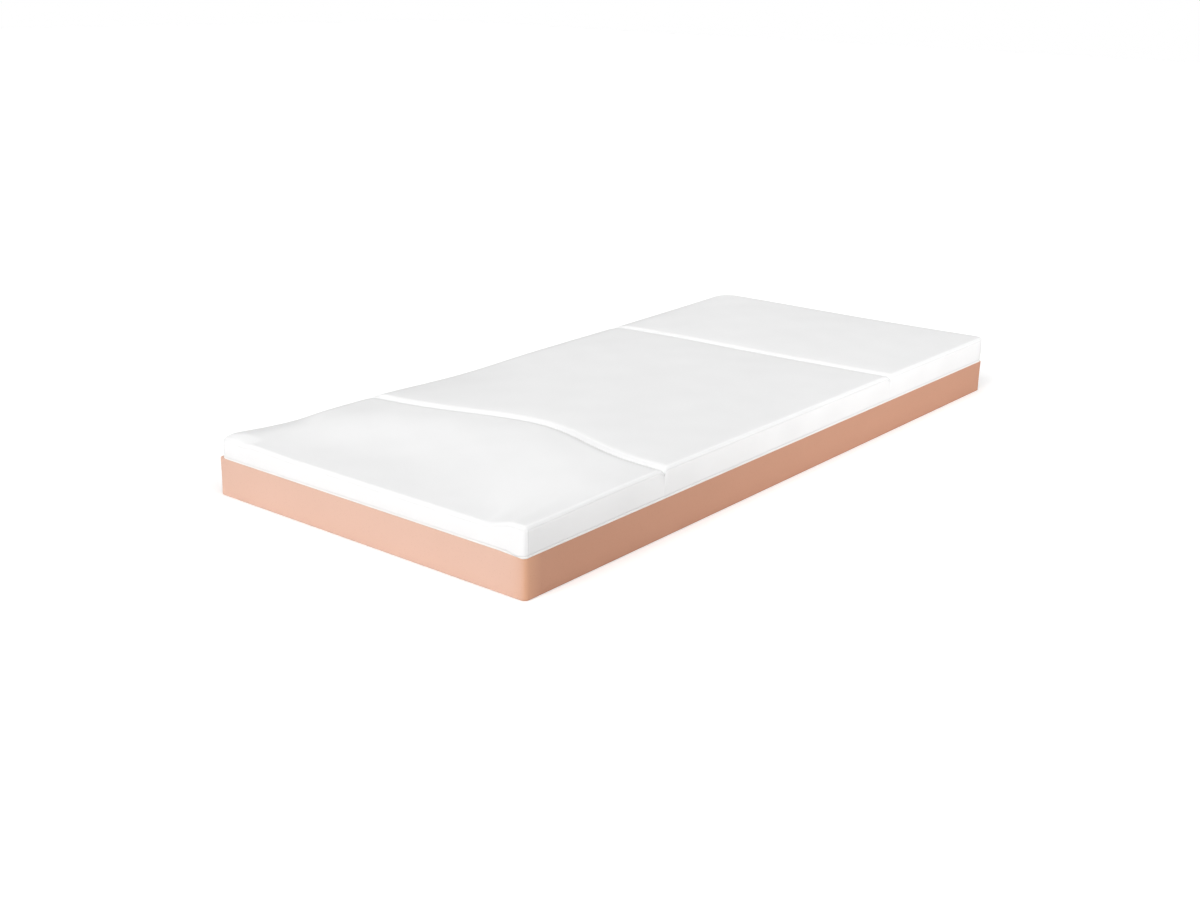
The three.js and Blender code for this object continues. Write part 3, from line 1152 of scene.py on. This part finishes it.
@dataclass
class Cover:
    """The knitted cover: three top panels, four side bands and the hem."""

    form: TopperForm
    finish: Material
    hem_finish: Material
    crowns: dict[Zone, Callable | None]
    fineness: Fineness = Fineness()
    thickness: float = 2 * MM
    seam_roll: float = 1.2 * MM
    seam_rise: float = 0.3 * MM
    crease_fold: float = 5 * MM
    hem_height: float = 4 * MM
    hem_proud: float = 0.8 * MM
    hem_points: int = 9
    band_rows: int = 12
    band_bulge: float = 0.8 * MM
    band_wave: float = 0.35 * MM
    wave_turns: tuple[float, float] = (37, 29)
    wave_slant: float = 2.0
    wave_bend: float = 0.6
    bend_length: float = 2.7
    droop: float = 4 * MM
    droop_push: float = 2 * MM
    droop_from_corner: float = 22 * MM
    droop_reach: float = 15 * MM

    def build(self) -> list[Object]:
        """Build the panels, the bands and the hem.

        Returns:
            The pieces.
        """
        surfaces = {zone: ZoneSurface(self.form, zone, 0.0, self.fineness) for zone in Zone}
        grids = {zone: surfaces[zone].points(self.crowns[zone]) for zone in Zone}
        panels = [self.panel(zone, grids[zone]) for zone in Zone]
        hem = self.hem()
        return panels + self.bands(grids, hem) + [hem]

    def panel(self, zone: Zone, grid: Array) -> Object:
        """Build one top panel, with its edges turned in at the seams.

        Args:
            zone: The zone that it covers.
            grid: Its outer face as rows and columns of points.

        Returns:
            The piece.
        """
        edged = np.pad(grid, ((1, 1), (1, 1), (0, 0)), mode="edge")
        roll = self.seam_roll
        edged[:, 0] += (roll, 0, -roll)
        edged[:, -1] += (-roll, 0, -roll)
        for row, sign, is_end in ((0, 1, zone is Zone.HEAD), (-1, -1, zone is Zone.FOOT)):
            edged[row] += (0, sign * roll, -roll) if is_end else (0, 0, -self.crease_fold)
        piece = sheet_piece(f"{zone.value}_panel_knit", edged, self.finish, self.thickness)
        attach(piece, "topper")
        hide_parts(f"{zone.value}_panel")
        return piece

    def droop_share(self, plan: Array) -> Array:
        """Tell how much of the droop each point gets: the cover hangs lowest by its right head corner."""
        lowest = (self.form.outline.half_width - self.droop_from_corner, -self.form.outline.half_length)
        return np.exp(-(((plan[:, :2] - lowest) ** 2).sum(axis=1)) / self.droop_reach**2)

    def rim_loop(self, grids: dict[Zone, Array]) -> tuple[Array, dict[Band, tuple[int, int]]]:
        """Gather the panels' edge round the topper, and where the bands are sewn to each other.

        Args:
            grids: The panels' outer faces.

        Returns:
            Points round the rim, anticlockwise seen from above, and each band's first and last point.
        """
        right = np.concatenate([grids[zone][:, -1] for zone in Zone])
        left = np.concatenate([grids[zone][:, 0] for zone in Zone])[::-1]
        foot = grids[Zone.FOOT][-1, -2:0:-1]
        head = grids[Zone.HEAD][0, 1:-1]
        half = self.fineness.corner_steps // 2
        left_start = len(right) + len(foot)
        seams = [half, len(right) - 1 - half, left_start + half, left_start + len(left) - 1 - half]
        bands = {band: (seams[place - 1], seams[place]) for place, band in enumerate(Band)}
        return np.concatenate([right, foot, left, head]), bands

    def bands(self, grids: dict[Zone, Array], hem: Object) -> list[Object]:
        """Build the four side bands.

        Args:
            grids: The panels' outer faces.
            hem: The binding that is sewn to all four.

        Returns:
            The pieces.
        """
        loop, runs = self.rim_loop(grids)
        out = outward(loop)
        bound = {Band.HEAD: [hem]}
        pieces = []
        for band, (first, last) in runs.items():
            numbers = (first + np.arange((last - first) % len(loop) + 1)) % len(loop)
            pieces.append(self.band(band, loop[numbers], out[numbers], bound.get(band, [])))
        return pieces

    def band(self, band: Band, top: Array, out: Array, with_pieces: list[Object]) -> Object:
        """Build one side band between two upright seams.

        Args:
            band: Which band.
            top: Points along its upper edge.
            out: The way out from each point, in plan.
            with_pieces: Separate pieces that belong to it; not used.

        Returns:
            The piece.
        """
        hang = self.droop_share(top)
        bottom = self.form.bottom + self.hem_height - self.droop * hang
        place = top[:, 0] * self.wave_turns[0] + top[:, 1] * self.wave_turns[1]
        bend = self.wave_bend * np.sin(place / self.bend_length)
        rows = []
        for share in np.linspace(0, 1, self.band_rows + 1):
            wave = self.band_wave * np.sin(place + self.wave_slant * share + bend)
            push = (self.band_bulge + wave) * math.sin(math.pi * share)
            push += self.droop_push * hang * (1 - share) ** 2
            rows.append(ring(top[:, :2] + out * push[:, None], bottom + (top[:, 2] - bottom) * share))
        turned_in = out * self.seam_roll
        rows.append(ring(top[:, :2] - turned_in, top[:, 2] + self.seam_rise))
        rows.insert(0, ring(rows[0][:, :2] - turned_in, bottom))
        piece = sheet_piece(f"{band.value}_knit", np.stack(rows), self.finish, self.thickness / 2)
        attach(piece, "topper")
        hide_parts(band.value)
        return piece

    def hem(self) -> Object:
        """Build the binding round the cover's lower edge.

        Returns:
            The piece.
        """
        low, high = self.form.bottom, self.form.bottom + self.hem_height
        angles = np.linspace(-math.pi / 2, math.pi / 2, self.hem_points)
        middle, half = (low + high) / 2, (high - low) / 2
        bulge = [(-self.hem_proud * math.cos(a), middle + half * math.sin(a)) for a in angles]
        outline, steps = self.form.outline, self.fineness.corner_steps
        base = outline.loop(0.0, steps)
        hang = self.droop_share(base)
        push = outward(base) * (self.droop_push * hang)[:, None]
        section = [(self.thickness, low), *bulge, (self.thickness, high)]
        rings = [ring(outline.loop(inset, steps) + push, z - self.droop * hang) for inset, z in section]
        piece = ring_piece("hem_binding_tape", rings, self.hem_finish, capped=False)
        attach(piece, "topper")
        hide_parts("hem_binding")
        return piece


@dataclass
class Filling:
    """What the cover holds: three pads, the channel tapes and the underside sheet."""

    form: TopperForm
    foam: Material
    cloth: Material
    fineness: Fineness = Fineness(rim_steps=4, shoulder_steps=8, corner_steps=8, cell=20 * MM)
    inset: float = 2.3 * MM
    pad_clearance: float = 2 * MM
    tape_thickness: float = 1.5 * MM
    tape_clearance: float = 6 * MM
    tape_points: tuple[int, int] = (5, 61)
    sheet_steps: int = 12
    sheet_edge_share: float = 0.004

    def build(self) -> list[Object]:
        """Build the pads, the tapes and the sheet.

        Returns:
            The pieces.
        """
        pads = [self.pad(zone) for zone in Zone]
        tapes = [self.tape(channel) for channel in Channel]
        return pads + tapes + [self.sheet()]

    def pad(self, zone: Zone) -> Object:
        """Build one foam pad: crowned top, upright sides, flat bottom.

        Args:
            zone: The zone that it fills.

        Returns:
            The piece.
        """
        node = f"{zone.value}_pad"
        grid = ZoneSurface(self.form, zone, self.inset, self.fineness).points()
        grid[:, :, 2] -= self.pad_clearance
        parts = MeshParts()
        numbers = parts.add_points(grid)
        parts.add_grid(numbers)
        lower = parts.add_points(ring(border(grid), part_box(node)[0].z))
        parts.add_grid(np.stack([lower, border(numbers)]), closed=True)
        parts.add_cap(lower[::-1])
        piece = parts.build(f"{zone.value}_pad_foam", self.foam)
        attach(piece, "topper")
        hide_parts(node)
        return piece

    def tape(self, channel: Channel) -> Object:
        """Build the upright tape under a channel.

        Args:
            channel: Which channel.

        Returns:
            The piece.
        """
        node = f"{channel.value}_channel_tape"
        low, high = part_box(node)
        rows, columns = self.tape_points
        x = np.linspace(low.x, high.x, columns)
        y = self.form.channel_line(channel, x)
        floor = self.form.rim - self.form.channel_depth - self.form.rim_drop(x, y, self.inset)
        rise = floor - self.tape_clearance - low.z
        grid = np.stack([np.column_stack([x, y, low.z + rise * share]) for share in np.linspace(0, 1, rows)])
        piece = sheet_piece(f"{channel.value}_channel_tie", grid, self.cloth, self.tape_thickness)
        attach(piece, "topper")
        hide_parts(node)
        return piece

    def sheet(self) -> Object:
        """Build the sheet that closes the cover below the pads.

        Returns:
            The piece.
        """
        low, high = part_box("underside_sheet")
        plan = self.form.outline.loop(self.inset, self.sheet_steps)
        inner = plan * (1 - self.sheet_edge_share)
        rings = [ring(inner, low.z), ring(plan, low.z), ring(plan, high.z), ring(inner, high.z)]
        piece = ring_piece("underside_cloth", rings, self.cloth)
        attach(piece, "topper")
        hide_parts("underside_sheet")
        return piece


# Camera, lamps and floor


@dataclass(frozen=True)
class Viewpoint:
    """The camera that sees the mattress as the photograph does."""

    place: Triple = (2.116, -2.931, 1.137)
    turn_degrees: float = 37.791
    tilt_degrees: float = 18.1
    roll_degrees: float = 1.4
    lens: float = 44.329
    sensor_width: float = 36

    def build(self) -> Object:
        """Make the camera and set it as the scene's.

        Returns:
            The camera.
        """
        data = bpy.data.cameras.new("camera")
        data.lens = self.lens
        data.sensor_width = self.sensor_width
        camera = bpy.data.objects.new("camera", data)
        camera.location = self.place
        turn = Matrix.Rotation(math.radians(self.turn_degrees), 3, "Z")
        tilt = Matrix.Rotation(math.radians(90 - self.tilt_degrees), 3, "X")
        roll = Matrix.Rotation(math.radians(self.roll_degrees), 3, "Z")
        camera.rotation_euler = (turn @ tilt @ roll).to_euler()
        link(camera)
        bpy.context.scene.camera = camera
        return camera


@dataclass(frozen=True)
class Studio:
    """Soft lamps, a white floor and white surroundings."""

    sky: float = 0.2
    overhead: float = 0.965
    overhead_spread: float = 60
    head_key: float = 1.92
    side_key: float = 0.66
    key_spread: float = 40
    side_lamp: float = 3.15
    foot_lamp: float = 2.8
    lamp_width: float = 0.8
    lamp_height: float = 0.3
    floor_size: float = 40.0
    floor_white: float = 0.9
    floor_lift: float = 0.2
    floor_gap: float = 0.5 * MM

    def build(self) -> None:
        """Set the world, the lamps and the floor.

        The two low lamps stand by the long side, which they light without reaching far over the top.
        """
        bpy.context.scene.view_settings.view_transform = "Standard"
        self.world()
        wide, soft = math.radians(self.overhead_spread), math.radians(self.key_spread)
        low = {"shape": "RECTANGLE", "size": self.lamp_width, "size_y": self.lamp_height}
        self.lamp("overhead", "SUN", self.overhead, (0, 0, 0), angle=wide)
        self.lamp("head key", "SUN", self.head_key, (55, 0, 0), angle=soft)
        self.lamp("side key", "SUN", self.side_key, (45, 0, 90), angle=soft)
        self.lamp("side lamp", "AREA", self.side_lamp, (90, 0, 90), (1.6, 0.2, 0.2), **low)
        self.lamp("foot side lamp", "AREA", self.foot_lamp, (90, 0, 105), (1.6, 1.4, 0.2), **low)
        self.floor()

    def world(self) -> None:
        """Light from all round, seen as plain white by the camera."""
        world = bpy.data.worlds.new("surroundings")
        bpy.context.scene.world = world
        world.use_nodes = True
        n = Nodes(world.node_tree)
        rays = n.add("ShaderNodeLightPath").outputs
        seen = n.math("MAXIMUM", n.seen(), rays["Is Transmission Ray"])
        background = world.node_tree.nodes["Background"]
        n.feed(background, {"Color": WHITE, "Strength": n.mapped(seen, self.sky, 1.0)})

    def lamp(
        self, name: str, kind: str, power: float, turn: Triple, place: Triple = (0, 0, 0), **sizes: object
    ) -> None:
        """Add one lamp.

        Args:
            name: Its name.
            kind: SUN for a distant lamp or AREA for a near one, which the camera doesn't see.
            power: Its strength, or its power in watts for a near one.
            turn: Its rotation in degrees.
            place: Its place in metres.
            **sizes: How large it is or looks, which softens its shadows.
        """
        data = bpy.data.lights.new(name, kind)
        data.energy = power
        for label, value in sizes.items():
            setattr(data, label, value)
        lamp = bpy.data.objects.new(name, data)
        lamp.location = place
        lamp.rotation_euler = [math.radians(angle) for angle in turn]
        lamp.visible_camera = kind == "SUN"
        link(lamp)

    def floor(self) -> None:
        """Add the white floor, which keeps the object's shadow."""
        n = Surface("floor white")
        looks = {
            "Base Color": (self.floor_white,) * 3 + (1,),
            "Roughness": 1.0,
            "Specular IOR Level": 0.0,
            "Emission Color": WHITE,
            "Emission Strength": n.math("MULTIPLY", n.seen(), self.floor_lift),
        }
        n.feed(n.shader, looks)
        ends = (-self.floor_size / 2, self.floor_size / 2)
        floor = sheet_piece("floor", np.array([[(x, y, 0.0) for x in ends] for y in ends]), n.material)
        floor.location.z = -self.floor_gap


def main() -> None:
    """Build the mattress, its camera and its studio."""
    logging.basicConfig(level=logging.INFO, format="%(name)s: %(message)s")
    Viewpoint().build()
    Studio().build()
    effects = Effects()
    plan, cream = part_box("base_core")[1][:2], (0.8, 0.77, 0.68)
    # Peach foam: the ends' colour, the long sides' colour with painted shade, and the painted corner shade.
    peach = FoamFinish("peach foam", (0.772, 0.514, 0.411), (0.572, 0.308, 0.21), (0.7, 0.39, 0.255), *plan)
    comfort = FoamFinish("comfort foam", cream, cream, cream, *plan)
    # These cloths' colours are painted light: a lit tone, a shaded tone and a slanted-face tone.
    knit = KnitFinish("white knit", (0.912, 0.912, 0.912), (0.777, 0.777, 0.777), (0.83, 0.83, 0.83))
    tape = KnitFinish("hem tape", (0.91, 0.9, 0.88), (0.85, 0.83, 0.8), (0.9, 0.88, 0.85), 1.0 * MM, 0.8 * MM)
    inner = KnitFinish("inner cloth", (0.76, 0.76, 0.74), (0.7, 0.7, 0.68), (0.76, 0.76, 0.74))
    form = TopperSizes().form()
    crowns = {zone: Crown(form, zone).share for zone in Zone}
    pieces = [FoamBase(peach.build(effects)).build()]
    pieces += Cover(form, knit.build(effects), tape.build(effects), crowns).build()
    pieces += Filling(form, comfort.build(effects), inner.build(effects)).build()
    for piece in pieces:
        log.info("%s: %d faces", piece.name, len(piece.data.polygons))


if __name__ == "__main__":
    main()
